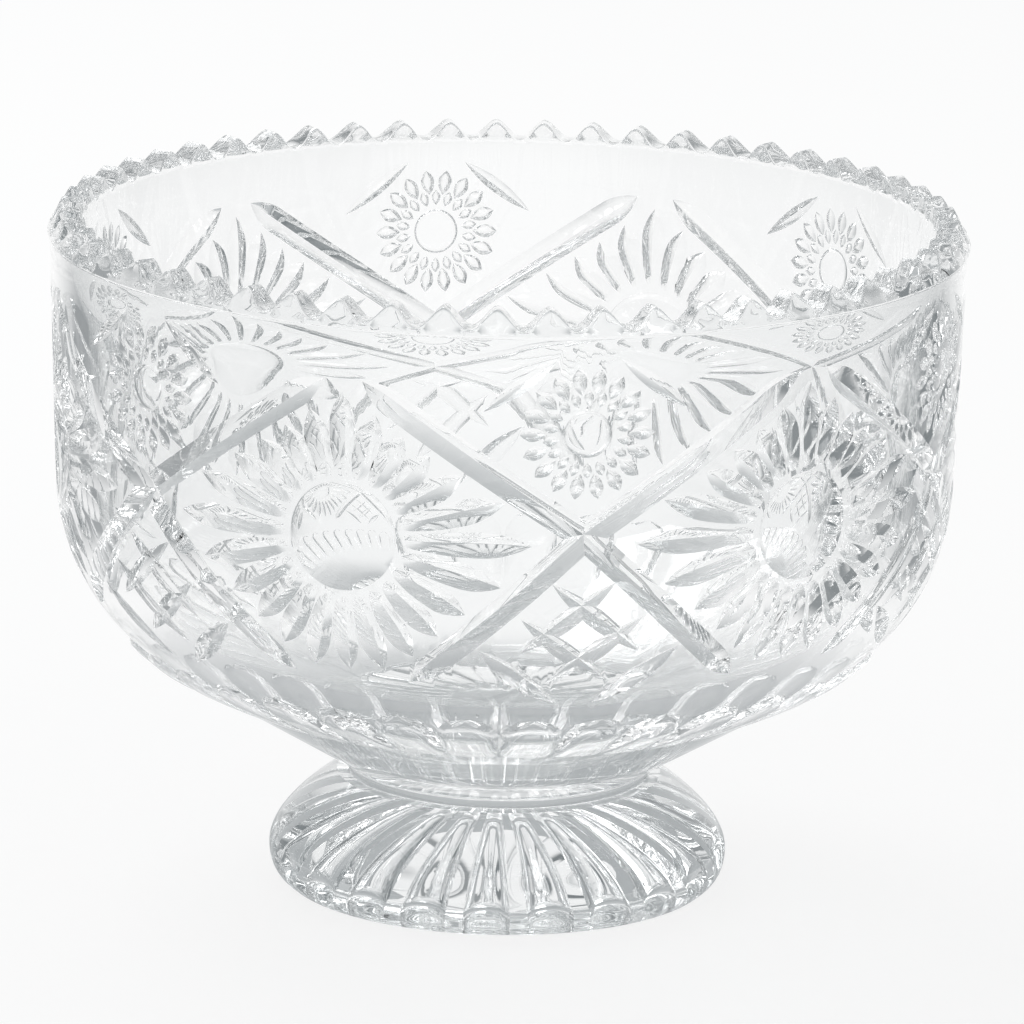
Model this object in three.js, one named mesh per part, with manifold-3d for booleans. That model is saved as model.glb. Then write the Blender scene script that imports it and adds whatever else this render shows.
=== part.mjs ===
// A footed bowl of clear pressed glass: a deep round bowl with a toothed rim and a cut pattern on
// the outside of its wall, fused through a short collar to a hollow domed foot.
// Millimetres, +Z up, origin on the table at the middle of the foot.

import * as THREE from "three";
import { mergeVertices } from "three/addons/utils/BufferGeometryUtils.js";
import Module from "manifold-3d";

// Foot
const footHeight = 28;
const footLedge = 2.5; // how far the foot's top stands out past the collar
const footBaseRadius = 54.5; // outside of the ring that stands on the table
const footFlare = 3.5; // how far the dome's widest place stands out past that ring
const footFlareHeight = 8.5; // of the widest place
const footCrown = 8; // how far the dome keeps straight up before it leans in
const ringWidth = 4.5; // of the ring that stands on the table, at a rib
const recessDepth = 11; // hollow underside
const ribCount = 20;
const ribShare = 0.32; // part of each rib-to-rib step that the rib takes
const ribTurn = 8.35; // degrees from +X to the nearest rib
const fluteDepth = 1.6; // hollows between the ribs
const fluteStart = 16; // radius where the hollows begin

// Collar
const collarHeight = 3;
const collarRadius = 38.5;
const collarRound = 0.9;

// Bowl body
const undersideSlope = 31; // degrees
const turnRadius = 54; // bend between underside and wall, outside
const shoulderRadius = 113; // outside, where the bend ends and the wall starts
const wallHeight = 62.4; // shoulder to the bottoms of the rim's notches
const rimRadius = 115; // outside
const rimThickness = 8;
const wallThickness = 9.5; // at the shoulder
const floorThickness = 10;

// Rim teeth
const toothCount = 55;
const toothHeight = 4.6;
const toothTurn = -0.9; // degrees from the first sunburst's axis to the nearest tip
const toothFlat = 0.9; // width of a tooth's tip
const notchFlat = 1.2; // width of a notch's bottom

// Pattern on the wall: repeats around the bowl, heights measured along the glass from the shoulder
const repeatCount = 6;
const sunHeight = 9;
const lensRadius = 14;
const lensDepth = 1.8;
const petalCount = 24;
const petalGap = 1.5; // between the lens and the petals
const petalWidth = 4.2;
const petalDepth = 1.3;
const petalBelly = 0.62; // where along its length a petal is widest
const sunReachAcross = 46;
const sunReachUp = 36;
const sunMargin = 5.5; // between a petal's tip and the lattice

const latticeWidth = 5;
const latticeDepth = 1.7;
const crossingHeight = 11.2;
const latticeTopTurn = 2.5; // degrees from the sunburst's axis
const latticeBelowRim = 14.4;
const latticeBottomTurn = 8; // degrees from the sunburst's axis
const latticeBottom = -29.4;
const latticeSteps = 4;

const daisyBelowRim = 25.6;
const daisyEyeRadius = 6;
const daisyEyeDepth = 0.9;

const browLength = 21.8; // two leaves over each daisy's eye
const browWidth = 2.9;
const browDepth = 0.9;
const browTilt = 36.6; // degrees
const browOffset = [16.2, 12]; // from the eye's middle

const hashHeight = -14.2; // four crossed cuts under each lattice crossing
const hashSpacing = 11.6;
const hashLength = 30;
const hashWidth = 4.2;
const hashDepth = 1.3;
const hashTilt = 39; // degrees

const swagLength = 27; // two leaves under the crossed cuts
const swagWidth = 5;
const swagDepth = 1.5;
const swagTilt = 40.9; // degrees
const swagOffset = [15.2, -12.9]; // from the middle of the crossed cuts

const scallopsPerRepeat = 6;
const scallopTop = -43.6;
const scallopLength = 32;
const scallopShare = 0.92; // part of the step between scallops that a scallop takes
const scallopDepth = 1.5;

// Roundness of the faceted solids
const bowlSides = 48;
const insideSides = 48;
const footSides = 60;
const bendSteps = 5;
const lensSides = 16;
const eyeSides = 10;

const clear = 1; // how far a cutter stands out of the face that it cuts
const cutLift = 0.5; // the same for the pattern's shallow cuts
const weld = 1e-4;

const wasm = await Module();
wasm.setup();

const radians = THREE.MathUtils.degToRad;
const point = (x, y) => new THREE.Vector2(x, y);

// A closed geometry as a solid that can be joined and cut.
function solid(geometry) {
  const loose = geometry.index ? geometry.toNonIndexed() : geometry;
  const bare = new THREE.BufferGeometry();
  bare.setAttribute("position", loose.getAttribute("position"));
  const merged = mergeVertices(bare, weld);
  const corners = merged.index.array;
  const kept = [];
  for (let i = 0; i < corners.length; i += 3) {
    const [a, b, c] = [corners[i], corners[i + 1], corners[i + 2]];
    if (a !== b && b !== c && c !== a) kept.push(a, b, c);
  }
  const mesh = new wasm.Mesh({
    numProp: 3,
    vertProperties: merged.attributes.position.array,
    triVerts: new Uint32Array(kept),
  });
  return new wasm.Manifold(mesh);
}

// A solid as a named mesh.
function piece(name, made, material) {
  const { vertProperties, triVerts } = made.getMesh();
  const geometry = new THREE.BufferGeometry();
  geometry.setAttribute("position", new THREE.BufferAttribute(vertProperties, 3));
  geometry.setIndex(new THREE.BufferAttribute(triVerts, 1));
  geometry.computeVertexNormals();
  const mesh = new THREE.Mesh(geometry, material);
  mesh.name = name;
  return mesh;
}

// A solid of revolution about +Z from points of radius and height, listed from bottom to top.
function turned(points, sides) {
  return solid(new THREE.LatheGeometry(points, sides).rotateX(Math.PI / 2));
}

// Moves every point of a geometry by a rule that takes and returns three numbers.
function reshape(geometry, rule) {
  const places = geometry.getAttribute("position");
  for (let i = 0; i < places.count; i++) {
    places.setXYZ(i, ...rule(places.getX(i), places.getY(i), places.getZ(i)));
  }
  return geometry;
}

// Outside of the bowl, in the bowl's own frame: its underside cone, its bend and its wall.
const slope = radians(undersideSlope);
const bendCentreRadius = shoulderRadius - turnRadius;
const coneTopRadius = bendCentreRadius + turnRadius * Math.sin(slope);
const coneTop = (coneTopRadius - collarRadius) * Math.tan(slope);
const shoulderHeight = coneTop + turnRadius * Math.cos(slope);
const rimHeight = shoulderHeight + wallHeight;
const bendLength = turnRadius * (Math.PI / 2 - slope);
const draft = Math.atan2(rimRadius - shoulderRadius, wallHeight);

// The place on the bowl's outside at a height along the glass from the shoulder, and its normal.
function wallAt(along) {
  if (along >= 0) {
    const radius = shoulderRadius + along * Math.sin(draft);
    return [radius, shoulderHeight + along * Math.cos(draft), Math.cos(draft), -Math.sin(draft)];
  }
  const lean = Math.max(Math.PI / 2 + along / turnRadius, slope);
  const [out, down] = [Math.sin(lean), Math.cos(lean)];
  const past = Math.min(along + bendLength, 0);
  return [
    bendCentreRadius + turnRadius * out + past * down,
    shoulderHeight - turnRadius * down + past * out,
    out,
    -down,
  ];
}

// Lays a flat cutter on the wall: across is round the bowl, along is up the glass, then outwards.
function onWall(geometry, turn) {
  return reshape(geometry, (across, along, outwards) => {
    const [radius, height, out, up] = wallAt(along);
    const angle = radians(turn) + across / shoulderRadius;
    const reach = radius + outwards * out;
    return [reach * Math.sin(angle), -reach * Math.cos(angle), height + outwards * up];
  });
}

// How much larger a cutter is at its own middle than the cut that it leaves in the surface.
const swell = (depth) => (depth + cutLift) / depth;

// A four-sided spindle along +Y, for a cut of a width and a depth at its widest.
function spindle(shape, length, width, depth) {
  const half = (swell(depth) * width) / 2;
  const outline = shape.map(([along, share]) => point(share * half, along * length));
  return new THREE.LatheGeometry(outline, 4)
    .scale(1, 1, (depth + cutLift) / half)
    .translate(0, 0, cutLift);
}

// A leaf cut with its middle at a place on the wall, tilted from the level.
function leaf(length, width, depth, tilt, across, along, belly = 0.5) {
  const shape = [
    [0, 0],
    [belly, 1],
    [1, 0],
  ];
  const past = (swell(depth) - 1) * belly * length;
  return spindle(shape, swell(depth) * length, width, depth)
    .translate(0, -length / 2 - past, 0)
    .rotateZ(radians(tilt - 90))
    .translate(across, along, 0);
}

// A round hollow with its middle at a height on the wall.
function dimple(radius, depth, along, sides) {
  const outline = [
    point(0, -depth),
    point(radius / 2, -depth * 0.75),
    point(radius, 0),
    point(radius, clear),
    point(0, clear),
  ];
  return new THREE.LatheGeometry(outline, sides).rotateX(Math.PI / 2).translate(0, along, 0);
}

// The lattice's corners, in distance round the bowl from a sunburst's axis and height.
const repeatTurn = 360 / repeatCount;
const roundBowl = (degrees) => radians(degrees) * shoulderRadius;
const crossing = point(roundBowl(repeatTurn / 2), crossingHeight);
const armTop = point(roundBowl(latticeTopTurn), wallHeight - latticeBelowRim);
const armBottom = point(roundBowl(latticeBottomTurn), latticeBottom);
const sunMiddle = point(0, sunHeight);

// One arm of the lattice: a groove from a pointed end to just past the crossing.
function latticeArm(end, side) {
  const run = crossing.clone().sub(end);
  const length = run.length() + latticeWidth / 2;
  const taper = latticeWidth / length;
  const shape = [[0, 0]];
  for (let step = 0; step <= latticeSteps; step++) {
    shape.push([taper + ((1 - 2 * taper) * step) / latticeSteps, 1]);
  }
  shape.push([1, 0]);
  const groove = spindle(shape, length, latticeWidth, latticeDepth);
  groove.rotateZ(run.angle() - Math.PI / 2).translate(end.x, end.y, 0);
  return side < 0 ? mirrored(groove) : groove;
}

// The same cutter on the other side of the pattern's axis.
function mirrored(geometry) {
  const flipped = geometry.index ? geometry.toNonIndexed() : geometry;
  flipped.scale(-1, 1, 1);
  const places = flipped.getAttribute("position");
  for (let i = 0; i < places.count; i += 3) {
    const [x, y, z] = [places.getX(i), places.getY(i), places.getZ(i)];
    places.setXYZ(i, places.getX(i + 1), places.getY(i + 1), places.getZ(i + 1));
    places.setXYZ(i + 1, x, y, z);
  }
  return flipped;
}

// How far a ray from the sunburst's middle runs before it meets the line between two corners.
function reachTo(from, to, heading) {
  const line = to.clone().sub(from);
  const start = from.clone().sub(sunMiddle);
  const reach = start.cross(line) / heading.cross(line);
  return reach > 0 ? reach : Infinity;
}

// A sunburst: petals round a lens, each as long as the diamond between the grooves lets it be.
function sunburst() {
  const cutters = [dimple(lensRadius, lensDepth, sunHeight, lensSides)];
  const inner = lensRadius + petalGap;
  for (let petal = 0; petal < petalCount; petal++) {
    const angle = (petal * 2 * Math.PI) / petalCount;
    const heading = point(Math.cos(angle), Math.sin(angle));
    const beside = point(Math.abs(heading.x), heading.y);
    const oval = 1 / Math.hypot(heading.x / sunReachAcross, heading.y / sunReachUp);
    const edge = Math.min(reachTo(armTop, crossing, beside), reachTo(crossing, armBottom, beside));
    const length = Math.min(oval, edge - sunMargin) - inner;
    const middle = heading.clone().multiplyScalar(inner + length / 2).add(sunMiddle);
    const tilt = THREE.MathUtils.radToDeg(angle);
    cutters.push(leaf(length, petalWidth, petalDepth, tilt, middle.x, middle.y, petalBelly));
  }
  return cutters;
}

// A daisy's eye with its two brow leaves, over a lattice crossing.
function daisy() {
  const daisyHeight = wallHeight - daisyBelowRim;
  const cutters = [dimple(daisyEyeRadius, daisyEyeDepth, daisyHeight, eyeSides)];
  for (const side of [-1, 1]) {
    const tilt = -side * browTilt;
    const along = daisyHeight + browOffset[1];
    cutters.push(leaf(browLength, browWidth, browDepth, tilt, side * browOffset[0], along));
  }
  return cutters;
}

// Crossed cuts with their two swag leaves, under a lattice crossing.
function crossedCuts() {
  const cutters = [];
  for (const side of [-1, 1]) {
    for (const row of [-0.5, 0.5]) {
      const across = row * hashSpacing * Math.sin(radians(hashTilt)) * side;
      const along = hashHeight + row * hashSpacing * Math.cos(radians(hashTilt));
      cutters.push(leaf(hashLength, hashWidth, hashDepth, -side * hashTilt, across, along));
    }
    const along = hashHeight + swagOffset[1];
    cutters.push(leaf(swagLength, swagWidth, swagDepth, side * swagTilt, side * swagOffset[0], along));
  }
  return cutters;
}

// Scooped scallops round the underside, in one repeat of the pattern.
function scallops() {
  const step = roundBowl(repeatTurn / scallopsPerRepeat);
  const shape = [
    [0, 0],
    [0.5, 0.9],
    [0.85, 1],
    [1, 0],
  ];
  return Array.from({ length: scallopsPerRepeat }, (_, place) => {
    const across = (place - (scallopsPerRepeat - 1) / 2) * step;
    const scoop = spindle(shape, scallopLength, step * scallopShare, scallopDepth);
    return scoop.translate(across, scallopTop - scallopLength, 0);
  });
}

// All the cuts of the pattern, laid round the bowl.
function patternCuts() {
  const cuts = [];
  for (let repeat = 0; repeat < repeatCount; repeat++) {
    const sunTurn = repeat * repeatTurn;
    const crossTurn = sunTurn + repeatTurn / 2;
    const arms = [-1, 1].flatMap((side) => [armTop, armBottom].map((end) => latticeArm(end, side)));
    const onSun = [...sunburst(), ...scallops(), ...arms];
    const onCrossing = [...daisy(), ...crossedCuts()];
    cuts.push(...onSun.map((cutter) => solid(onWall(cutter, sunTurn))));
    cuts.push(...onCrossing.map((cutter) => solid(onWall(cutter, crossTurn))));
  }
  return cuts;
}

// The notches between the rim's teeth, cut straight towards the bowl's axis.
function notchCuts() {
  const step = 360 / toothCount;
  const half = roundBowl(step) / 2;
  const mouth = half - toothFlat / 2;
  const outline = new THREE.Shape([
    point(-mouth, toothHeight + clear),
    point(-mouth, toothHeight),
    point(-notchFlat / 2, 0),
    point(notchFlat / 2, 0),
    point(mouth, toothHeight),
    point(mouth, toothHeight + clear),
  ]);
  const depth = rimThickness + 4 * clear;
  const first = rimRadius - rimThickness - 2 * clear;
  return Array.from({ length: toothCount }, (_, notch) => {
    const turn = toothTurn + (notch + 0.5) * step;
    const bar = new THREE.ExtrudeGeometry(outline, { depth, bevelEnabled: false });
    return solid(
      reshape(bar, (across, up, outwards) => {
        const angle = radians(turn) + across / shoulderRadius;
        const reach = first + outwards;
        return [reach * Math.sin(angle), -reach * Math.cos(angle), rimHeight + up];
      }),
    );
  });
}

// The bowl's body, standing on its seat at height 0.
function bowlBody() {
  const rimTop = rimHeight + toothHeight;
  const outside = [point(0, 0), point(collarRadius, 0)];
  const inside = [point(0, floorThickness)];
  const innerTurn = turnRadius - wallThickness;
  const innerConeTop = point(
    bendCentreRadius + innerTurn * Math.sin(slope),
    shoulderHeight - innerTurn * Math.cos(slope),
  );
  const floorRun = (innerConeTop.y - floorThickness) / Math.tan(slope);
  inside.push(point(innerConeTop.x - floorRun, floorThickness));
  for (let step = 0; step <= bendSteps; step++) {
    const lean = slope + ((Math.PI / 2 - slope) * step) / bendSteps;
    const [out, down] = [Math.sin(lean), Math.cos(lean)];
    outside.push(point(bendCentreRadius + turnRadius * out, shoulderHeight - turnRadius * down));
    inside.push(point(bendCentreRadius + innerTurn * out, shoulderHeight - innerTurn * down));
  }
  outside.push(point(rimRadius, rimHeight), point(rimRadius, rimTop), point(0, rimTop));
  const mouth = rimRadius - rimThickness;
  inside.push(point(mouth, rimHeight), point(mouth, rimTop + clear), point(0, rimTop + clear));
  const cuts = [turned(inside, insideSides), ...notchCuts(), ...patternCuts()];
  return turned(outside, bowlSides).subtract(wasm.Manifold.union(cuts));
}

// The collar: a flat button of glass with a rounded edge, standing on height 0.
function collarButton() {
  const inner = collarRadius - collarRound;
  const outline = [
    point(0, 0),
    point(inner, 0),
    point(collarRadius, collarRound),
    point(collarRadius, collarHeight - collarRound),
    point(inner, collarHeight),
    point(0, collarHeight),
  ];
  return turned(outline, bowlSides);
}

// The foot: a dome with a recess under it, whose roof and side are fluted between radial ribs.
function footDome() {
  const widest = footBaseRadius + footFlare;
  const low = new THREE.QuadraticBezierCurve(
    point(footBaseRadius, 0),
    point(widest, footFlareHeight / 3),
    point(widest, footFlareHeight),
  );
  const high = new THREE.QuadraticBezierCurve(
    point(widest, footFlareHeight),
    point(widest, footFlareHeight + footCrown),
    point(collarRadius + footLedge, footHeight),
  );
  const recessRadius = footBaseRadius - ringWidth;
  const outside = [point(0, 0), ...low.getPoints(3), ...high.getPoints(6).slice(1), point(0, footHeight)];
  const recess = [
    point(0, -clear),
    point(recessRadius, -clear),
    point(recessRadius, recessDepth),
    point(0, recessDepth),
  ];
  const cuts = [turned(recess, footSides)];
  const step = (2 * Math.PI) / ribCount;
  const halfFlute = ((1 - ribShare) * step) / 2;
  const outer = recessRadius + fluteDepth;
  for (let flute = 0; flute < ribCount; flute++) {
    const sector = new THREE.Shape();
    const middle = radians(ribTurn) + (flute + 0.5) * step;
    sector.absarc(0, 0, outer, middle - halfFlute, middle + halfFlute, false);
    sector.absarc(0, 0, fluteStart, middle + halfFlute, middle - halfFlute, true);
    const depth = recessDepth + fluteDepth + clear;
    const bar = new THREE.ExtrudeGeometry(sector, { depth, bevelEnabled: false, curveSegments: 3 });
    cuts.push(solid(bar.translate(0, 0, -clear)));
  }
  return turned(outside, footSides).subtract(wasm.Manifold.union(cuts));
}

const glass = new THREE.MeshStandardMaterial({
  color: 0xeaf0f1,
  roughness: 0.04,
  metalness: 0,
  transparent: true,
  opacity: 0.45,
});

const foot = piece("foot", footDome(), glass);
const collar = piece("collar", collarButton(), glass.clone());
collar.position.z = footHeight;
const bowl = piece("bowl", bowlBody(), glass.clone());
bowl.position.z = footHeight + collarHeight;

const footedBowl = new THREE.Group();
footedBowl.add(foot, collar, bowl);

export default footedBowl;
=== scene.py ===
import math

import bmesh
import bpy
from mathutils import Matrix, Vector


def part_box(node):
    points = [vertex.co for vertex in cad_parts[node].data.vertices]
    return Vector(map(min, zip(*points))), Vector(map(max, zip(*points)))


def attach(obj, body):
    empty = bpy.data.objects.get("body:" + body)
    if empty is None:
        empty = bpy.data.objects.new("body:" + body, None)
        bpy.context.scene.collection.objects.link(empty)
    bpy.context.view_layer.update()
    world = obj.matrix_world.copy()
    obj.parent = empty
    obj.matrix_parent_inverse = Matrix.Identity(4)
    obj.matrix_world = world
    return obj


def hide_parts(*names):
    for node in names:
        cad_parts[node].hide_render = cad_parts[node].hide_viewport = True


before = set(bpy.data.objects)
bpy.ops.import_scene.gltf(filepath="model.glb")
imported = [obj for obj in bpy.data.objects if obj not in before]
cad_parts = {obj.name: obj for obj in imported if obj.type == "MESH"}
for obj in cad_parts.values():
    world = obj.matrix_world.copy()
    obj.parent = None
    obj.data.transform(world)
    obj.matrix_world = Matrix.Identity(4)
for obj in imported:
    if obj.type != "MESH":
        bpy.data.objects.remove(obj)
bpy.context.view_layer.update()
mm = 0.001  # shapes are drawn in millimetres and scaled once
print("frame loaded:", sorted(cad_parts))


# Camera
cameraSetup = {
    "azimuth": 20.0,  # degrees from -Y towards +X
    "elevation": 14.364,
    "distance": 2300.0,
    "aimHeight": 87.0,
    "centreUp": 8.0,  # picture centre above the aim
    "centreRight": 2.1,
    "roll": 1.139,
    "lens": 320.2,
    "clipEnd": 50.0,  # metres
}


def viewAxes(back):
    right = Vector((-back.y, back.x, 0)).normalized()
    return right, back.cross(right)


def addCamera(setup):
    turn = math.radians(setup["azimuth"])
    tilt = math.radians(setup["elevation"])
    roll = math.radians(setup["roll"])
    back = Vector((math.sin(turn) * math.cos(tilt), -math.cos(turn) * math.cos(tilt), math.sin(tilt)))
    right, up = viewAxes(back)
    aim = Vector((0, 0, setup["aimHeight"]))
    place = aim + back * setup["distance"]
    aim += right * setup["centreRight"] + up * setup["centreUp"]
    back = (place - aim).normalized()
    right, up = viewAxes(back)
    across = right * math.cos(roll) + up * math.sin(roll)
    upward = up * math.cos(roll) - right * math.sin(roll)
    data = bpy.data.cameras.new("photoCamera")
    data.sensor_fit = "HORIZONTAL"
    data.lens = setup["lens"]
    data.clip_end = setup["clipEnd"]
    camera = bpy.data.objects.new("photoCamera", data)
    axes = Matrix((across, upward, back)).transposed().to_4x4()
    camera.matrix_world = Matrix.Translation(place * mm) @ axes
    bpy.context.scene.collection.objects.link(camera)
    bpy.context.scene.camera = camera


addCamera(cameraSetup)
print("camera placed")


# Drawing an outline in the XZ plane with a pen, then turning it round the axis
def startLine(bm, x, z):
    return bmesh.ops.create_vert(bm, co=(x, 0, z))["vert"][0]


def lineTo(bm, pen, x, z, parts=1):
    start = pen.co.copy()
    end = Vector((x, 0, z))
    for part in range(parts):
        pen = bmesh.ops.extrude_vert_indiv(bm, verts=[pen])["verts"][0]
        pen.co = start.lerp(end, (part + 1) / parts)
    return pen


def arcTo(bm, pen, x, z, degrees, parts):
    angle = math.radians(degrees)
    turned = bmesh.ops.spin(bm, geom=[pen], cent=(x, 0, z), axis=(0, 1, 0), angle=angle, steps=parts)
    return [item for item in turned["geom_last"] if isinstance(item, bmesh.types.BMVert)][0]


def tidyMesh(bm, weld=1e-4):
    bmesh.ops.remove_doubles(bm, verts=bm.verts, dist=weld)
    bmesh.ops.recalc_face_normals(bm, faces=bm.faces)


def turnRound(bm, steps):
    bmesh.ops.spin(
        bm,
        geom=bm.verts[:] + bm.edges[:],
        cent=(0, 0, 0),
        axis=(0, 0, 1),
        angle=math.tau,
        steps=steps,
        use_merge=True,
    )
    tidyMesh(bm)


def addObject(name, bm):
    mesh = bpy.data.meshes.new(name)
    bm.to_mesh(mesh)
    bm.free()
    made = bpy.data.objects.new(name, mesh)
    bpy.context.scene.collection.objects.link(made)
    return made


# Bowl: outline of the plain shell
bowlShape = {
    "seatRadius": 38.5,
    "slope": 31.0,  # underside, degrees
    "turnRadius": 54.0,  # bend between underside and wall
    "shoulderRadius": 113.0,
    "rimRadius": 115.0,
    "wallHeight": 62.2,
    "wallThickness": 9.5,
    "rimThickness": 8.0,
    "floorThickness": 10.0,
    "floorFillet": 24.0,
    "toothCount": 55,
    "toothTurn": -0.9,  # degrees from the sunburst's axis to a tip
    "toothHeight": 4.8,
    "toothLean": 23.0,  # degrees that a tooth's outer end leans in
    "toothPoint": 0.12,  # 0 is round, 1 is a sharp gable
    "notchWidth": 0.06,  # level share of the step between two teeth
    "stepsPerTooth": 8,
    "splitUnder": 2.5,  # level edges of the teeth up to this length are split in two
    "edgeDrop": 1.2,  # parting edge below the notches
    "edgeLip": 0.5,
    "ridgeRound": 0.8,  # rounding at both ends of a tooth's ridge
}

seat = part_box("bowl")[0].z / mm
slope = math.radians(bowlShape["slope"])
bendRadius = bowlShape["shoulderRadius"] - bowlShape["turnRadius"]
coneTopRadius = bendRadius + bowlShape["turnRadius"] * math.sin(slope)
coneTop = seat + (coneTopRadius - bowlShape["seatRadius"]) * math.tan(slope)
shoulder = coneTop + bowlShape["turnRadius"] * math.cos(slope)
rimHeight = shoulder + bowlShape["wallHeight"]
bendLength = bowlShape["turnRadius"] * (math.pi / 2 - slope)
draft = math.atan2(bowlShape["rimRadius"] - bowlShape["shoulderRadius"], bowlShape["wallHeight"])


# radius, height and outward normal at a distance along the glass from the shoulder
def wallAt(along):
    if along >= 0:
        radius = bowlShape["shoulderRadius"] + along * math.sin(draft)
        return radius, shoulder + along * math.cos(draft), math.cos(draft), -math.sin(draft)
    lean = max(math.pi / 2 + along / bowlShape["turnRadius"], slope)
    out, down = math.sin(lean), math.cos(lean)
    past = min(along + bendLength, 0)
    radius = bendRadius + bowlShape["turnRadius"] * out + past * down
    return radius, shoulder - bowlShape["turnRadius"] * down + past * out, out, -down


def toothShare(x, y):
    pitch = math.tau / bowlShape["toothCount"]
    turn = (math.atan2(x, -y) - math.radians(bowlShape["toothTurn"])) / pitch
    side = 2 * abs(turn - round(turn))  # 0 at a tip, 1 in a notch
    gable = max(0, 1 - side / (1 - bowlShape["notchWidth"]))
    dome = gable * gable * (3 - 2 * gable)
    return bowlShape["toothPoint"] * gable + (1 - bowlShape["toothPoint"]) * dome


def bowlShell(contactRadius):
    shape = bowlShape
    bend = 90 - shape["slope"]
    edge = rimHeight - shape["edgeDrop"]
    top = rimHeight + shape["toothHeight"]
    outer = shape["rimRadius"]
    mouth = outer - shape["rimThickness"]
    innerTurn = shape["turnRadius"] - shape["wallThickness"]
    floor = seat + shape["floorThickness"]
    innerConeRadius = bendRadius + innerTurn * math.sin(slope)
    innerConeTop = shoulder - innerTurn * math.cos(slope)
    floorRadius = innerConeRadius - (innerConeTop - floor) / math.tan(slope)
    fillet = shape["floorFillet"]
    tangent = fillet * math.tan(slope / 2)
    ridge = shape["ridgeRound"]
    bm = bmesh.new()
    pen = startLine(bm, 0, seat)
    pen = lineTo(bm, pen, contactRadius, seat)
    pen = lineTo(bm, pen, shape["seatRadius"], seat)
    pen = lineTo(bm, pen, coneTopRadius, coneTop, 4)
    pen = arcTo(bm, pen, bendRadius, shoulder, -bend, 14)
    pen = lineTo(bm, pen, outer, edge - 2 * shape["edgeLip"], 5)
    pen = lineTo(bm, pen, outer + shape["edgeLip"], edge)
    pen = lineTo(bm, pen, outer, edge + 2 * shape["edgeLip"])
    pen = lineTo(bm, pen, outer, top - ridge, 2)
    pen = arcTo(bm, pen, outer - ridge, top - ridge, -90, 4)
    pen = lineTo(bm, pen, mouth + ridge, top, 3)
    pen = arcTo(bm, pen, mouth + ridge, top - ridge, -90, 4)
    pen = lineTo(bm, pen, mouth, edge)
    pen = lineTo(bm, pen, shape["shoulderRadius"] - shape["wallThickness"], shoulder, 4)
    pen = arcTo(bm, pen, bendRadius, shoulder, bend, 12)
    pen = lineTo(bm, pen, floorRadius + tangent * math.cos(slope), floor + tangent * math.sin(slope), 3)
    pen = arcTo(bm, pen, floorRadius - tangent, floor + fillet, shape["slope"], 5)
    lineTo(bm, pen, 0, floor, 2)
    turn = Matrix.Rotation(math.radians(shape["toothTurn"] - 90), 4, "Z")
    bmesh.ops.transform(bm, matrix=turn, verts=bm.verts)
    turnRound(bm, shape["toothCount"] * shape["stepsPerTooth"])
    level = [side for side in bm.edges if abs(side.verts[0].co.z - side.verts[1].co.z) < 1e-4]
    level = [side for side in level if side.verts[0].co.z > edge]
    level = [side for side in level if side.calc_length() < shape["splitUnder"]]
    bmesh.ops.subdivide_edges(bm, edges=level, cuts=1)
    lowest = rimHeight - edge
    lean = math.tan(math.radians(shape["toothLean"]))
    for vert in bm.verts:
        rise = vert.co.z - edge
        if rise > 3 * shape["edgeLip"]:
            full = top - edge
            share = lowest + (full - lowest) * toothShare(vert.co.x, vert.co.y)
            vert.co.z = edge + rise * share / full
            radius = math.hypot(vert.co.x, vert.co.y)
            inward = lean * (vert.co.z - edge) * (radius - mouth) / (outer - mouth)
            vert.co.xy *= 1 - inward / radius
    return bm


# Cut pattern: cutters are drawn flat, as across, along and outwards, then laid on the wall
patternCuts = {
    "repeats": 6,
    "lift": 0.06,  # cutter edges stand this far off the glass
    "cover": 1.2,  # and reach this far out
    "flare": 0.8,  # of a round cutter's edge
    "edgeGap": 0.05,  # a round cutter leaves the glass this far past its edge
    "rampRate": 6,  # a leaf's blunt start takes 1 / 6 of its length to get deep
}


# across a cut, from -1 to 1: crispness 1 is a plain V, 0 is a round furrow
def section(u, crispness):
    return crispness * (1 - abs(u)) + (1 - crispness) * (1 - u * u)


def closeCutter(bm, cover):
    grown = bmesh.ops.extrude_face_region(bm, geom=bm.faces[:], use_keep_orig=True)
    for item in grown["geom"]:
        if isinstance(item, bmesh.types.BMVert):
            item.co.z = cover
    tidyMesh(bm)


def bulge(t, belly):
    reach = belly if t < belly else 1 - belly
    return max(0, 1 - ((t - belly) / reach) ** 2)


# a leaf along +Y: pointed at its end, widest at its belly, at its start a share of that width
def leafCutter(length, width, depth, crispness, belly=0.5, start=0.0, columns=8, rows=12):
    bm = bmesh.new()
    bmesh.ops.create_grid(bm, x_segments=columns, y_segments=rows, size=1)
    lift = patternCuts["lift"]
    for vert in bm.verts:
        u, t = vert.co.x, (vert.co.y + 1) / 2
        deep = bulge(t, belly)
        wide = start + (1 - start) * deep if t < belly else deep
        deep = max(deep, wide * min(1, t * patternCuts["rampRate"]))
        out = lift - (depth + lift) * deep * section(u, crispness)
        vert.co = (u * wide * width / 2, (t - 0.5) * length, out)
    closeCutter(bm, patternCuts["cover"])
    return bm


def placeCutter(bm, tilt, across, along):
    turn = Matrix.Rotation(math.radians(tilt - 90), 4, "Z")
    bmesh.ops.transform(bm, matrix=Matrix.Translation((across, along, 0)) @ turn, verts=bm.verts)
    return bm


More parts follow.
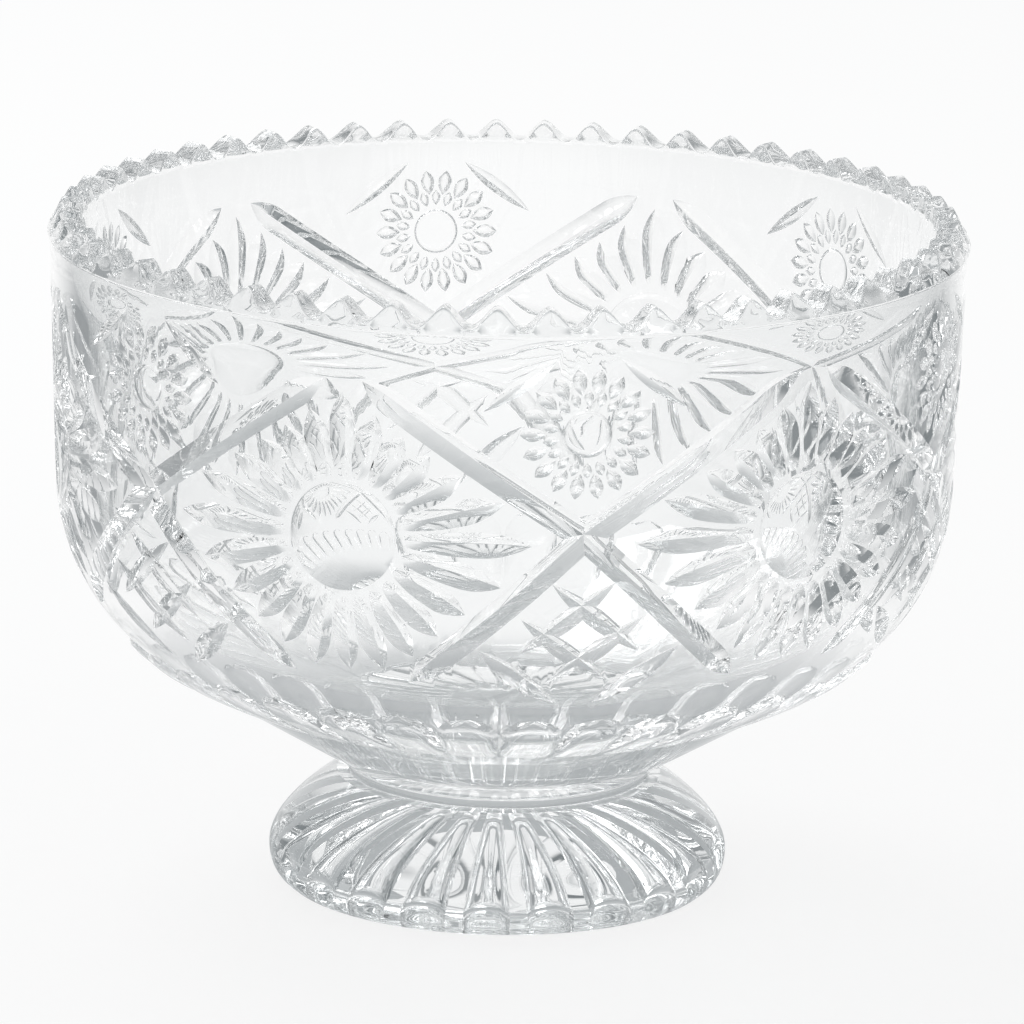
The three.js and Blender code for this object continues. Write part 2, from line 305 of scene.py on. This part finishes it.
# a round hollow: a level bed of a given radius, then a hollow curve up to the edge
def dimpleCutter(radius, bed, depth, along, steps):
    lift = patternCuts["lift"]
    reach = radius - bed
    ball = (reach**2 + depth**2) / (2 * depth)
    span = math.degrees(math.asin(reach / ball))
    bm = bmesh.new()
    pen = startLine(bm, 0, -depth)
    if bed:
        pen = lineTo(bm, pen, bed, -depth, 2)
    pen = arcTo(bm, pen, bed, ball - depth, -span, 8)
    pen = lineTo(bm, pen, radius + patternCuts["edgeGap"], lift)
    pen = lineTo(bm, pen, radius + patternCuts["flare"], patternCuts["cover"])
    lineTo(bm, pen, 0, patternCuts["cover"])
    turnRound(bm, steps)
    bmesh.ops.translate(bm, vec=(0, along, 0), verts=bm.verts)
    return bm


def layOnWall(bm, turn):
    for vert in bm.verts:
        across, along, out = vert.co
        radius, height, normalOut, normalUp = wallAt(along)
        angle = math.radians(turn) + across / bowlShape["shoulderRadius"]
        reach = radius + out * normalOut
        vert.co = (reach * math.sin(angle), -reach * math.cos(angle), height + out * normalUp)


def gather(whole, bm):
    carrier = bpy.data.meshes.new("carrier")
    bm.to_mesh(carrier)
    whole.from_mesh(carrier)
    bpy.data.meshes.remove(carrier)


def roundBowl(degrees):
    return math.radians(degrees) * bowlShape["shoulderRadius"]


# flat cutters with the turn of their own axis, repeated round the bowl
def wrapRound(flats):
    whole = bmesh.new()
    step = 360 / patternCuts["repeats"]
    for repeat in range(patternCuts["repeats"]):
        for flat, turn in flats:
            laid = flat.copy()
            layOnWall(laid, turn + repeat * step)
            gather(whole, laid)
            laid.free()
    for flat, turn in flats:
        flat.free()
    bmesh.ops.recalc_face_normals(whole, faces=whole.faces)
    return whole


lattice = {
    "width": 6.8,
    "depth": 2.7,
    "crispness": 0.85,
    "crossing": 11.2,  # height along the glass
    "top": (2.5, 48.0),  # degrees from the sunburst's axis, height
    "bottom": (8.0, -29.4),
    "taper": 9.0,
    "columns": 8,
    "rows": 60,
}
halfStep = 180 / patternCuts["repeats"]
crossing = Vector((roundBowl(halfStep), lattice["crossing"]))
latticeTop = Vector((roundBowl(lattice["top"][0]), lattice["top"][1]))
latticeBottom = Vector((roundBowl(lattice["bottom"][0]), lattice["bottom"][1]))


# one line of the lattice, from beside a sunburst's top to below the next one
def latticeCutter(side):
    low = Vector((2 * crossing.x - latticeBottom.x, latticeBottom.y))
    firstRun, lastRun = crossing - latticeTop, low - crossing
    length = firstRun.length + lastRun.length
    bm = bmesh.new()
    bmesh.ops.create_grid(bm, x_segments=lattice["columns"], y_segments=lattice["rows"], size=1)
    lift = patternCuts["lift"]
    for vert in bm.verts:
        u, gone = vert.co.x, (vert.co.y + 1) / 2 * length
        toEnd = min(gone, length - gone)
        deep = min(1, toEnd / lattice["taper"])
        deep = deep * (2 - deep)
        bent = min(1, max(0, 0.5 + (gone - firstRun.length) / lattice["taper"]))
        if gone < firstRun.length:
            spot = latticeTop + firstRun.normalized() * gone
        else:
            spot = crossing + lastRun.normalized() * (gone - firstRun.length)
        run = firstRun.normalized().lerp(lastRun.normalized(), bent).normalized()
        beside = Vector((-run.y, run.x)) * u * deep * lattice["width"] / 2
        spot = spot + beside
        out = lift - (lattice["depth"] + lift) * deep * section(u, lattice["crispness"])
        vert.co = (side * spot.x, spot.y, out)
    closeCutter(bm, patternCuts["cover"])
    return bm


sunburst = {
    "height": 9.0,
    "lensRadius": 13.6,
    "lensDepth": 2.9,
    "lensSteps": 56,
    "petals": 24,
    "petalStart": 14.9,  # from the middle
    "petalWidth": 6.6,
    "petalDepth": 1.9,
    "crispness": 0.75,
    "belly": 0.62,
    "startShare": 0.42,
    "reachAcross": 46.5,
    "reachUp": 36.0,
    "margin": 5.0,  # between a petal's tip and the lattice
}


def reachTo(corner, end, heading):
    line = end - corner
    gap = corner - Vector((0, sunburst["height"]))
    cross = heading.x * line.y - heading.y * line.x
    reach = (gap.x * line.y - gap.y * line.x) / cross
    return reach if reach > 0 else math.inf


def sunburstCutters():
    shape = sunburst
    cutters = [dimpleCutter(shape["lensRadius"], 0, shape["lensDepth"], shape["height"], shape["lensSteps"])]
    for petal in range(shape["petals"]):
        angle = petal * math.tau / shape["petals"]
        heading = Vector((math.cos(angle), math.sin(angle)))
        beside = Vector((abs(heading.x), heading.y))
        oval = 1 / math.hypot(heading.x / shape["reachAcross"], heading.y / shape["reachUp"])
        edge = min(reachTo(latticeTop, crossing, beside), reachTo(crossing, latticeBottom, beside))
        tip = min(oval, edge - shape["margin"])
        length = tip - shape["petalStart"]
        middle = heading * (shape["petalStart"] + length / 2)
        profile = shape["petalWidth"], shape["petalDepth"], shape["crispness"]
        leaf = leafCutter(length, *profile, shape["belly"], shape["startShare"])
        cutters.append(placeCutter(leaf, math.degrees(angle), middle.x, shape["height"] + middle.y))
    return cutters


daisy = {
    "height": 36.8,
    "eyeRadius": 5.8,
    "eyeBed": 4.6,
    "eyeDepth": 0.9,
    "eyeSteps": 36,
    "petals": 18,
    "innerRing": (7.0, 11.0, 2.4, 0.9),  # start, end, width, depth
    "outerRing": (9.8, 16.4, 3.6, 1.4),
    "crispness": 0.4,
    "belly": 0.55,
    "petalGrid": 6,  # faces across and along a petal
    "browEnds": ((25.0, 5.5), (7.5, 18.5)),  # from the middle
    "browWidth": 3.6,
    "browDepth": 1.5,
    "browCrispness": 0.8,
}


def betweenEnds(ends, width, depth, crispness, side, height):
    first, last = Vector(ends[0]), Vector(ends[1])
    run = Vector((side * (last.x - first.x), last.y - first.y))
    middle = (first + last) / 2
    leaf = leafCutter(run.length, width, depth, crispness)
    return placeCutter(leaf, math.degrees(math.atan2(run.y, run.x)), side * middle.x, height + middle.y)


def daisyCutters():
    shape = daisy
    eye = shape["eyeRadius"], shape["eyeBed"], shape["eyeDepth"]
    cutters = [dimpleCutter(*eye, shape["height"], shape["eyeSteps"])]
    pitch = 360 / shape["petals"]
    for ring, offset in ((shape["innerRing"], 0.5), (shape["outerRing"], 0.0)):
        start, end, width, depth = ring
        middle = (start + end) / 2
        for petal in range(shape["petals"]):
            tilt = (petal + offset) * pitch
            profile = width, depth, shape["crispness"], shape["belly"]
            leaf = leafCutter(end - start, *profile, 0.0, shape["petalGrid"], shape["petalGrid"])
            across = middle * math.cos(math.radians(tilt))
            along = shape["height"] + middle * math.sin(math.radians(tilt))
            cutters.append(placeCutter(leaf, tilt, across, along))
    brow = shape["browEnds"], shape["browWidth"], shape["browDepth"], shape["browCrispness"]
    for side in (-1, 1):
        cutters.append(betweenEnds(*brow, side, shape["height"]))
    return cutters


crossCuts = {
    "height": -14.2,
    "spacing": 11.6,
    "length": 30.0,
    "width": 5.2,
    "depth": 1.9,
    "tilt": 39.0,
    "swagEnds": ((25.5, -4.0), (5.0, -21.75)),  # from the middle
    "swagWidth": 6.0,
    "swagDepth": 2.2,
    "crispness": 0.75,
}


def crossCutters(side):
    shape = crossCuts
    lean = math.radians(shape["tilt"])
    cutters = []
    for row in (-0.5, 0.5):
        across = row * shape["spacing"] * math.sin(lean) * side
        along = shape["height"] + row * shape["spacing"] * math.cos(lean)
        leaf = leafCutter(shape["length"], shape["width"], shape["depth"], shape["crispness"])
        cutters.append(placeCutter(leaf, -side * shape["tilt"], across, along))
    swag = shape["swagEnds"], shape["swagWidth"], shape["swagDepth"], shape["crispness"]
    cutters.append(betweenEnds(*swag, side, shape["height"]))
    return cutters


scallop = {
    "perRepeat": 6,
    "top": -43.6,  # height along the glass
    "length": 30.0,
    "share": 0.97,  # of the step between lobes
    "height": 1.6,
    "arch": 0.34,  # part of the length that the round top takes
    "fullest": 0.74,  # part of the length where a lobe stands highest
    "bluntness": 0.3,  # of the round top, 1 is a plain quarter wave
    "flatness": 4,  # across a lobe, 2 is a round back
    "columns": 10,
    "rows": 16,
}


# round-topped lobes that stand proud of the underside and fade out below
def scallopLobes():
    shape = scallop
    step = roundBowl(360 / patternCuts["repeats"] / shape["perRepeat"])
    lift = patternCuts["lift"]
    lobes = []
    for place in range(shape["perRepeat"]):
        bm = bmesh.new()
        bmesh.ops.create_grid(bm, x_segments=shape["columns"], y_segments=shape["rows"], size=1)
        for vert in bm.verts:
            u, t = vert.co.x, (vert.co.y + 1) / 2
            archAt = max(0, (t - 1 + shape["arch"]) / shape["arch"])
            wide = math.sqrt(max(0, 1 - archAt**2))
            if t < shape["fullest"]:
                high = math.sin(math.pi / 2 * t / shape["fullest"])
            else:
                past, rest = t - shape["fullest"], 1 - shape["fullest"]
                high = math.cos(math.pi / 2 * past / rest) ** shape["bluntness"]
            across = (place - (shape["perRepeat"] - 1) / 2) * step + u * wide * step * shape["share"] / 2
            along = shape["top"] - (1 - t) * shape["length"]
            out = (shape["height"] + lift) * high * (1 - u ** shape["flatness"]) - lift
            vert.co = (across, along, out)
        closeCutter(bm, -patternCuts["cover"])
        lobes.append(bm)
    return lobes


# new faces keep the number of their pass, so that the edges of a cut stay crisp
def carve(target, whole, passNumber, operation="DIFFERENCE"):
    for face in whole.faces:
        face.material_index = passNumber
    tool = addObject("cutter", whole)
    cut = target.modifiers.new("cut", "BOOLEAN")
    cut.operation = operation
    cut.solver = "MANIFOLD"
    cut.material_mode = "INDEX"
    cut.object = tool
    shown = target.evaluated_get(bpy.context.evaluated_depsgraph_get())
    mesh = bpy.data.meshes.new_from_object(shown)
    target.modifiers.remove(cut)
    old = target.data
    target.data = mesh
    bpy.data.meshes.remove(old)
    bpy.data.meshes.remove(tool.data)
    print("  cut:", len(mesh.polygons), "faces")


# scales to metres, smooths all but the sharp edges, and marks the fused faces
def finishPiece(piece, name, fusedHeights, fusedRadius, sharpness=33):
    bm = bmesh.new()
    bm.from_mesh(piece.data)
    piece.data.materials.clear()
    bmesh.ops.remove_doubles(bm, verts=bm.verts, dist=1e-4)
    for edge in bm.edges:
        passes = {face.material_index for face in edge.link_faces}
        edge.smooth = len(passes) == 1 and edge.calc_face_angle(0) < math.radians(sharpness)
    for face in bm.faces:
        middle = face.calc_center_median()
        level = any(abs(middle.z - height) < 1e-3 for height in fusedHeights)
        face.material_index = 1 if level and math.hypot(middle.x, middle.y) < fusedRadius else 0
        face.smooth = True
    bmesh.ops.scale(bm, vec=(mm, mm, mm), verts=bm.verts)
    bm.to_mesh(piece.data)
    bm.free()
    piece.data.name = name
    triangles = sum(len(face.vertices) - 2 for face in piece.data.polygons)
    print(name, "finished:", triangles, "triangles")


collarShape = {
    "radius": 38.5,
    "round": 0.9,
    "steps": 220,
}
contactRadius = collarShape["radius"] - collarShape["round"]

bowl = addObject("bowlGlass", bowlShell(contactRadius))
flowers = [(flat, 0) for flat in sunburstCutters()]
flowers += [(flat, halfStep) for flat in daisyCutters()]
carve(bowl, wrapRound(flowers), 1)
carve(bowl, wrapRound([(flat, 0) for flat in scallopLobes()]), 4, "UNION")
for lean in (1, -1):
    lines = [(latticeCutter(lean), 0)]
    lines += [(flat, halfStep) for flat in crossCutters(lean)]
    carve(bowl, wrapRound(lines), 2 if lean > 0 else 3)
finishPiece(bowl, "bowlGlass", [seat], contactRadius)


# Collar
def collarRing():
    shape = collarShape
    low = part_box("collar")[0].z / mm
    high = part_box("collar")[1].z / mm
    bm = bmesh.new()
    pen = startLine(bm, 0, low)
    pen = lineTo(bm, pen, contactRadius, low, 2)
    pen = arcTo(bm, pen, contactRadius, low + shape["round"], -90, 6)
    pen = lineTo(bm, pen, shape["radius"], high - shape["round"])
    pen = arcTo(bm, pen, contactRadius, high - shape["round"], -90, 6)
    lineTo(bm, pen, 0, high, 2)
    turnRound(bm, shape["steps"])
    return bm


collar = addObject("collarGlass", collarRing())
finishPiece(collar, "collarGlass", [bound.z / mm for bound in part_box("collar")], contactRadius)


# Foot
footShape = {
    "topRadius": 41.0,
    "baseRadius": 54.5,
    "baseRound": 1.2,
    "wideRadius": 58.0,
    "wideHeight": 8.5,
    "crown": 8.0,
    "recessRadius": 50.0,
    "recessDepth": 12.0,  # in the middle
    "recessRim": 5.0,  # its height at the edge
    "recessRound": 2.5,
    "ribs": 20,
    "ribTurn": 8.35,  # degrees from +X
    "ribShare": 0.32,  # of the step between two ribs
    "fluteDepth": 1.6,
    "fluteStart": 16.0,  # from the middle
    "fluteFade": 5.0,
    "stepsPerRib": 22,
}


def curveTo(bm, pen, bendX, bendZ, x, z, parts):
    start, bend, end = pen.co.copy(), Vector((bendX, 0, bendZ)), Vector((x, 0, z))
    for part in range(1, parts + 1):
        t = part / parts
        spot = start.lerp(bend, t).lerp(bend.lerp(end, t), t)
        pen = lineTo(bm, pen, spot.x, spot.z)
    return pen


# how deep the flutes run at a place on the underside, from 0 at a rib to 1
def fluteAt(x, y):
    turn = (math.degrees(math.atan2(y, x)) - footShape["ribTurn"]) * footShape["ribs"] / 360
    side = 2 * abs(turn - round(turn))  # 0 on a rib's middle, 1 in a flute's
    across = (side - footShape["ribShare"]) / (1 - footShape["ribShare"])
    return math.sqrt(max(0, 1 - (1 - across) ** 2)) if across > 0 else 0


def footDome():
    shape = footShape
    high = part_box("foot")[1].z / mm
    roof, side, fillet = shape["recessRim"], shape["recessRadius"], shape["recessRound"]
    bm = bmesh.new()
    pen = startLine(bm, 0, roof)
    pen = lineTo(bm, pen, shape["fluteStart"], roof, 4)
    pen = lineTo(bm, pen, side - fillet, roof, 14)
    pen = arcTo(bm, pen, side - fillet, roof - fillet, 90, 7)
    pen = lineTo(bm, pen, side, 0, 4)
    pen = lineTo(bm, pen, shape["baseRadius"] - shape["baseRound"], 0, 2)
    pen = arcTo(bm, pen, shape["baseRadius"] - shape["baseRound"], shape["baseRound"], -60, 4)
    wide, wideHeight = shape["wideRadius"], shape["wideHeight"]
    pen = curveTo(bm, pen, wide, wideHeight / 3, wide, wideHeight, 8)
    pen = curveTo(bm, pen, wide, wideHeight + shape["crown"], shape["topRadius"], high, 16)
    pen = lineTo(bm, pen, contactRadius, high)
    lineTo(bm, pen, 0, high, 2)
    turn = Matrix.Rotation(math.radians(shape["ribTurn"]), 4, "Z")
    bmesh.ops.transform(bm, matrix=turn, verts=bm.verts)
    turnRound(bm, shape["ribs"] * shape["stepsPerRib"])
    for vert in bm.verts:
        radius = math.hypot(vert.co.x, vert.co.y)
        if radius > side + 1e-3 or vert.co.z > roof + 1e-3:
            continue
        arched = (shape["recessDepth"] - roof) * (1 - (radius / side) ** 2) * min(1, vert.co.z / roof)
        if radius < shape["fluteStart"] - 1e-3:
            vert.co.z += arched
            continue
        fade = min(1, (radius - shape["fluteStart"]) / shape["fluteFade"])
        deep = shape["fluteDepth"] * fluteAt(vert.co.x, vert.co.y) * math.sin(fade * math.pi / 2)
        out = max(0, radius - side + fillet)
        up = max(0, vert.co.z - roof + fillet)
        outward = Vector((vert.co.x, vert.co.y, 0)).normalized()
        push = outward * out + Vector((0, 0, up))
        vert.co += push.normalized() * deep + Vector((0, 0, arched))
    return bm


foot = addObject("footGlass", footDome())
finishPiece(foot, "footGlass", [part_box("foot")[1].z / mm], contactRadius)


# Glass: clear, with the faint waviness and haze of a pressed surface
skinNoise = {
    "waveDetail": 1.0,
    "waveRoughness": 0.35,
    "hazeScale": 90.0,
    "hazeDetail": 3.0,
}


def pressedSkin(noise):
    group = bpy.data.node_groups.new("pressedSkin", "ShaderNodeTree")
    sockets = group.interface
    sockets.new_socket(name="Place", in_out="INPUT", socket_type="NodeSocketVector")
    sockets.new_socket(name="Wave Scale", in_out="INPUT", socket_type="NodeSocketFloat")
    sockets.new_socket(name="Haze", in_out="INPUT", socket_type="NodeSocketFloat")
    sockets.new_socket(name="Roughness", in_out="OUTPUT", socket_type="NodeSocketFloat")
    sockets.new_socket(name="Height", in_out="OUTPUT", socket_type="NodeSocketFloat")
    nodes, links = group.nodes, group.links
    given = nodes.new("NodeGroupInput")
    result = nodes.new("NodeGroupOutput")
    wave = nodes.new("ShaderNodeTexNoise")
    wave.inputs["Detail"].default_value = noise["waveDetail"]
    wave.inputs["Roughness"].default_value = noise["waveRoughness"]
    haze = nodes.new("ShaderNodeTexNoise")
    haze.inputs["Scale"].default_value = noise["hazeScale"]
    haze.inputs["Detail"].default_value = noise["hazeDetail"]
    spread = nodes.new("ShaderNodeMath")
    spread.operation = "MULTIPLY"
    links.new(given.outputs["Place"], wave.inputs["Vector"])
    links.new(given.outputs["Wave Scale"], wave.inputs["Scale"])
    links.new(given.outputs["Place"], haze.inputs["Vector"])
    links.new(haze.outputs["Fac"], spread.inputs[0])
    links.new(given.outputs["Haze"], spread.inputs[1])
    links.new(spread.outputs["Value"], result.inputs["Roughness"])
    links.new(wave.outputs["Fac"], result.inputs["Height"])
    return group


skin = pressedSkin(skinNoise)


def glassMaterial(name, look):
    material = bpy.data.materials.new(name)
    material.use_nodes = True
    nodes, links = material.node_tree.nodes, material.node_tree.links
    shader = nodes["Principled BSDF"]
    shader.inputs["Base Color"].default_value = look["tint"]
    shader.inputs["Transmission Weight"].default_value = 1.0
    shader.inputs["IOR"].default_value = look["ior"]
    place = nodes.new("ShaderNodeTexCoord")
    surface = nodes.new("ShaderNodeGroup")
    surface.node_tree = skin
    surface.inputs["Wave Scale"].default_value = look["waveScale"]
    surface.inputs["Haze"].default_value = look["haze"]
    bump = nodes.new("ShaderNodeBump")
    bump.inputs["Strength"].default_value = 1.0
    bump.inputs["Distance"].default_value = look["waveHeight"]
    links.new(place.outputs["Object"], surface.inputs["Place"])
    links.new(surface.outputs["Roughness"], shader.inputs["Roughness"])
    links.new(surface.outputs["Height"], bump.inputs["Height"])
    links.new(bump.outputs["Normal"], shader.inputs["Normal"])
    return material


# the faces where two gathers are fused let everything through
def fusedMaterial():
    material = bpy.data.materials.new("fusedFace")
    material.use_nodes = True
    shader = material.node_tree.nodes["Principled BSDF"]
    shader.inputs["Alpha"].default_value = 0.0
    shader.inputs["Specular IOR Level"].default_value = 0.0
    return material


glassLooks = {
    "bowl": {
        "tint": (0.985, 0.99, 0.99, 1),
        "ior": 1.52,
        "waveScale": 42.0,
        "waveHeight": 0.00005,
        "haze": 0.02,
    },
    "collar": {
        "tint": (0.92, 0.93, 0.932, 1),
        "ior": 1.52,
        "waveScale": 60.0,
        "waveHeight": 0.00004,
        "haze": 0.02,
    },
    "foot": {
        "tint": (0.9, 0.912, 0.914, 1),
        "ior": 1.52,
        "waveScale": 60.0,
        "waveHeight": 0.00005,
        "haze": 0.02,
    },
}
fused = fusedMaterial()
for piece, node in ((bowl, "bowl"), (collar, "collar"), (foot, "foot")):
    piece.data.materials.append(glassMaterial(node + "Clear", glassLooks[node]))
    piece.data.materials.append(fused)
    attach(piece, "root")
    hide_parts(node)
print("pieces dressed")


# Stage: a pale floor in a light room, brightest behind the bowl and in front, darker at both sides
stageSetup = {
    "floorHalf": 4.0,
    "floorDrop": 0.0003,
    "floorColour": (0.95, 0.95, 0.95, 1),
    "floorWhite": 0.85,  # share of the floor's white that takes no shadow
    "floorThrough": 0.92,  # the same as seen in the glass
    "pool": (0.14, 0.5),  # the floor keeps its white this far out
    "paintedShadowReach": (0.06, 0.19),  # painted shadow on the floor under the bowl, seen only in the glass
    # grey of the painted shadow under the bowl
    "paintedShadowColour": (0.48, 0.5, 0.51, 1),
    "bright": (1.0, 1.0, 1.0, 1),
    "dim": (0.2, 0.22, 0.23, 1),
    "top": (0.56, 0.58, 0.59, 1),
    "leftGain": 0.14,  # the left side is lighter than the right
    "frontShare": 0.85,  # of the light behind the bowl
    "frontSpan": (0.55, 0.97),  # cosine from the front, where it grows light
    "backSpan": (-0.6, -0.95),
    "leftSpan": (-0.3, 0.6),  # cosine from the left
    "topSpan": (0.4, 0.92),  # sine of the height, where the top's colour takes over
    "bounces": 24,
    "fusedBounces": 64,
}
softbox = {
    "azimuth": -130.0,  # degrees from -Y towards +X
    "elevation": 52.0,
    "distance": 1.6,
    "size": 0.9,
    "power": 10.0,
}


def mathNode(nodes, links, operation, first, second):
    node = nodes.new("ShaderNodeMath")
    node.operation = operation
    for socket, given in zip(node.inputs, (first, second)):
        if isinstance(given, (int, float)):
            socket.default_value = given
        else:
            links.new(given, socket)
    return node.outputs["Value"]


def rampNode(nodes, links, value, low, high):
    ramp = nodes.new("ShaderNodeMapRange")
    ramp.interpolation_type = "SMOOTHSTEP"
    ramp.inputs["From Min"].default_value = low
    ramp.inputs["From Max"].default_value = high
    links.new(value, ramp.inputs["Value"])
    return ramp.outputs["Result"]


def dotNode(nodes, links, vector, heading):
    dot = nodes.new("ShaderNodeVectorMath")
    dot.operation = "DOT_PRODUCT"
    dot.inputs[1].default_value = heading
    links.new(vector, dot.inputs[0])
    return dot.outputs["Value"]


def mixColours(nodes, links, share, first, second):
    mixed = nodes.new("ShaderNodeMix")
    mixed.data_type = "RGBA"
    colours = [socket for socket in mixed.inputs if socket.type == "RGBA"]
    for socket, given in zip(colours, (first, second)):
        if isinstance(given, tuple):
            socket.default_value = given
        else:
            links.new(given, socket)
    links.new(share, mixed.inputs["Factor"])
    return [socket for socket in mixed.outputs if socket.type == "RGBA"][0]


# how light the room is in a direction
def roomTone(setup):
    group = bpy.data.node_groups.new("roomTone", "ShaderNodeTree")
    group.interface.new_socket(name="Direction", in_out="INPUT", socket_type="NodeSocketVector")
    group.interface.new_socket(name="Colour", in_out="OUTPUT", socket_type="NodeSocketColor")
    nodes, links = group.nodes, group.links
    direction = nodes.new("NodeGroupInput").outputs["Direction"]
    turn = math.radians(cameraSetup["azimuth"])
    front = (math.sin(turn), -math.cos(turn), 0)
    left = (-math.cos(turn), -math.sin(turn), 0)
    ahead = dotNode(nodes, links, direction, front)
    facing = rampNode(nodes, links, ahead, *setup["frontSpan"])
    behind = rampNode(nodes, links, ahead, *setup["backSpan"])
    beside = rampNode(nodes, links, dotNode(nodes, links, direction, left), *setup["leftSpan"])
    facing = mathNode(nodes, links, "MULTIPLY", facing, setup["frontShare"])
    lefts = mathNode(nodes, links, "MULTIPLY", beside, setup["leftGain"])
    light = mathNode(nodes, links, "MAXIMUM", facing, behind)
    light = mathNode(nodes, links, "MAXIMUM", light, lefts)
    colour = mixColours(nodes, links, light, setup["dim"], setup["bright"])
    links.new(colour, nodes.new("NodeGroupOutput").inputs["Colour"])
    return group


def addFloor(setup, room):
    bm = bmesh.new()
    bmesh.ops.create_grid(bm, x_segments=1, y_segments=1, size=setup["floorHalf"])
    bmesh.ops.translate(bm, vec=(0, 0, -setup["floorDrop"]), verts=bm.verts)
    floor = addObject("floor", bm)
    material = bpy.data.materials.new("paleFloor")
    material.use_nodes = True
    nodes, links = material.node_tree.nodes, material.node_tree.links
    nodes.remove(nodes["Principled BSDF"])
    matt = nodes.new("ShaderNodeBsdfDiffuse")
    matt.inputs["Color"].default_value = setup["floorColour"]
    place = nodes.new("ShaderNodeTexCoord").outputs["Object"]
    heading = nodes.new("ShaderNodeVectorMath")
    heading.operation = "NORMALIZE"
    reach = nodes.new("ShaderNodeVectorMath")
    reach.operation = "LENGTH"
    links.new(place, heading.inputs[0])
    links.new(place, reach.inputs[0])
    tone = nodes.new("ShaderNodeGroup")
    tone.node_tree = room
    links.new(heading.outputs["Vector"], tone.inputs["Direction"])
    path = nodes.new("ShaderNodeLightPath")
    seen = path.outputs["Is Camera Ray"]
    mirrored, bent = path.outputs["Is Glossy Ray"], path.outputs["Is Transmission Ray"]
    through = mathNode(nodes, links, "MAXIMUM", mirrored, bent)
    outside = rampNode(nodes, links, reach.outputs["Value"], *setup["pool"])
    outside = mathNode(nodes, links, "MULTIPLY", outside, through)
    # painted shadow: under the bowl the floor turns grey for glossy and transmission rays only
    paintedShadowShare = rampNode(nodes, links, reach.outputs["Value"], *reversed(setup["paintedShadowReach"]))
    paintedShadowShare = mathNode(nodes, links, "MULTIPLY", paintedShadowShare, through)
    floorWithPaintedShadow = mixColours(nodes, links, paintedShadowShare, setup["bright"], setup["paintedShadowColour"])
    glow = nodes.new("ShaderNodeEmission")
    links.new(mixColours(nodes, links, outside, floorWithPaintedShadow, tone.outputs["Colour"]), glow.inputs["Color"])
    whole = mathNode(nodes, links, "MULTIPLY", seen, setup["floorWhite"])
    partly = mathNode(nodes, links, "MULTIPLY", through, setup["floorThrough"])
    mixed = nodes.new("ShaderNodeMixShader")
    links.new(mathNode(nodes, links, "MAXIMUM", whole, partly), mixed.inputs["Fac"])
    links.new(matt.outputs["BSDF"], mixed.inputs[1])
    links.new(glow.outputs["Emission"], mixed.inputs[2])
    links.new(mixed.outputs["Shader"], nodes["Material Output"].inputs["Surface"])
    floor.data.materials.append(material)


def addWorld(setup, room):
    world = bpy.data.worlds.new("studio")
    bpy.context.scene.world = world
    world.use_nodes = True
    nodes, links = world.node_tree.nodes, world.node_tree.links
    direction = nodes.new("ShaderNodeTexCoord").outputs["Generated"]
    tone = nodes.new("ShaderNodeGroup")
    tone.node_tree = room
    links.new(direction, tone.inputs["Direction"])
    upward = rampNode(nodes, links, dotNode(nodes, links, direction, (0, 0, 1)), *setup["topSpan"])
    colour = mixColours(nodes, links, upward, tone.outputs["Colour"], setup["top"])
    seen = nodes.new("ShaderNodeLightPath").outputs["Is Camera Ray"]
    links.new(mixColours(nodes, links, seen, colour, setup["bright"]), nodes["Background"].inputs["Color"])


def addSoftbox(setup):
    turn, tilt = math.radians(setup["azimuth"]), math.radians(setup["elevation"])
    back = Vector((math.sin(turn) * math.cos(tilt), -math.cos(turn) * math.cos(tilt), math.sin(tilt)))
    data = bpy.data.lights.new("softbox", "AREA")
    data.size = setup["size"]
    data.energy = setup["power"]
    lamp = bpy.data.objects.new("softbox", data)
    lamp.location = back * setup["distance"]
    lamp.rotation_euler = back.to_track_quat("Z", "Y").to_euler()
    bpy.context.scene.collection.objects.link(lamp)


room = roomTone(stageSetup)
addFloor(stageSetup, room)
addWorld(stageSetup, room)
addSoftbox(softbox)
scene = bpy.context.scene
scene.view_settings.view_transform = "Standard"
scene.cycles.max_bounces = stageSetup["bounces"]
scene.cycles.transmission_bounces = stageSetup["bounces"]
scene.cycles.glossy_bounces = stageSetup["bounces"]
scene.cycles.transparent_max_bounces = stageSetup["fusedBounces"]
print("stage lit")
